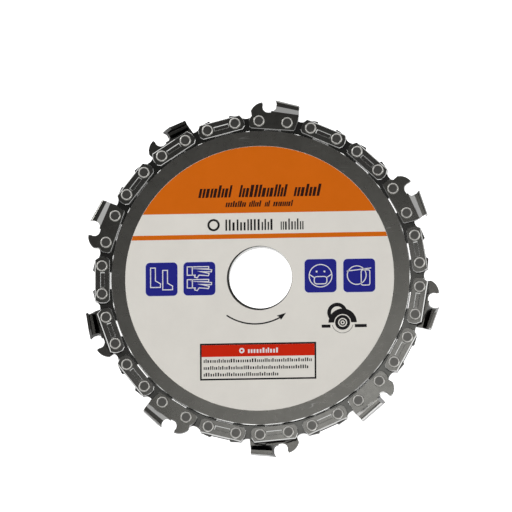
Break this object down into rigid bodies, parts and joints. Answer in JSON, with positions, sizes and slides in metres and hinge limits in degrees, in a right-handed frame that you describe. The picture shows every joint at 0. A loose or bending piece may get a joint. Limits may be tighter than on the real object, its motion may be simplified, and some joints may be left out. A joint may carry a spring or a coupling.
{
  "type": "angle grinder carving disc",
  "caption": "Round steel disc with a printed label and an arbor bore, rimmed by a closed saw chain of cutters, drive links and tie straps that runs in a groove.",
  "frame": {"origin": "middle of the arbor bore, half way through the disc's thickness", "axes": "+Z along the disc's axis, out of the labelled side; +Y towards the top of the label; +X to the label's right"},
  "size_m": [0.1251, 0.1276, 0.0064],
  "materials": {
    "plate_steel": "satin, dark, fine scratches",
    "core_steel": "satin",
    "disc_rivet_steel": "satin, flush",
    "label_paper": "printed coated paper",
    "drive_link_steel": "blued, oiled",
    "strap_steel": "blued, bright edges",
    "cutter_steel": "blued plate, bright tooth",
    "chain_rivet_steel": "bright rim, dark middle"
  },
  "bodies": {
    "disc": {"front_plate": "plate_steel", "rear_plate": "plate_steel", "core_plate": "core_steel", "disc_rivets": "disc_rivet_steel", "front_label": "label_paper"},
    "chain": {"drive_link_01": "drive_link_steel", "cutter_01": "cutter_steel", "rear_strap_01": "strap_steel", "drive_link_02": "drive_link_steel", "tie_straps_02": "strap_steel", "drive_link_03": "drive_link_steel", "tie_straps_03": "strap_steel", "drive_link_04": "drive_link_steel", "cutter_04": "cutter_steel", "rear_strap_04": "strap_steel", "drive_link_05": "drive_link_steel", "tie_straps_05": "strap_steel", "drive_link_06": "drive_link_steel", "cutter_06": "cutter_steel", "front_strap_06": "strap_steel", "drive_link_07": "drive_link_steel", "tie_straps_07": "strap_steel", "drive_link_08": "drive_link_steel", "cutter_08": "cutter_steel", "rear_strap_08": "strap_steel", "drive_link_09": "drive_link_steel", "tie_straps_09": "strap_steel", "drive_link_10": "drive_link_steel", "cutter_10": "cutter_steel", "front_strap_10": "strap_steel", "drive_link_11": "drive_link_steel", "tie_straps_11": "strap_steel", "drive_link_12": "drive_link_steel", "cutter_12": "cutter_steel", "rear_strap_12": "strap_steel", "drive_link_13": "drive_link_steel", "tie_straps_13": "strap_steel", "drive_link_14": "drive_link_steel", "cutter_14": "cutter_steel", "front_strap_14": "strap_steel", "drive_link_15": "drive_link_steel", "tie_straps_15": "strap_steel", "drive_link_16": "drive_link_steel", "cutter_16": "cutter_steel", "rear_strap_16": "strap_steel", "drive_link_17": "drive_link_steel", "tie_straps_17": "strap_steel", "drive_link_18": "drive_link_steel", "cutter_18": "cutter_steel", "front_strap_18": "strap_steel", "drive_link_19": "drive_link_steel", "tie_straps_19": "strap_steel", "leading_rivets": "chain_rivet_steel", "trailing_rivets": "chain_rivet_steel"}
  },
  "joints": [
    {"name": "chain_slip", "type": "hinge", "parent": "disc", "child": "chain", "pos_m": [0, 0, 0], "axis": [0, 0, 1], "continuous": true}
  ]
}
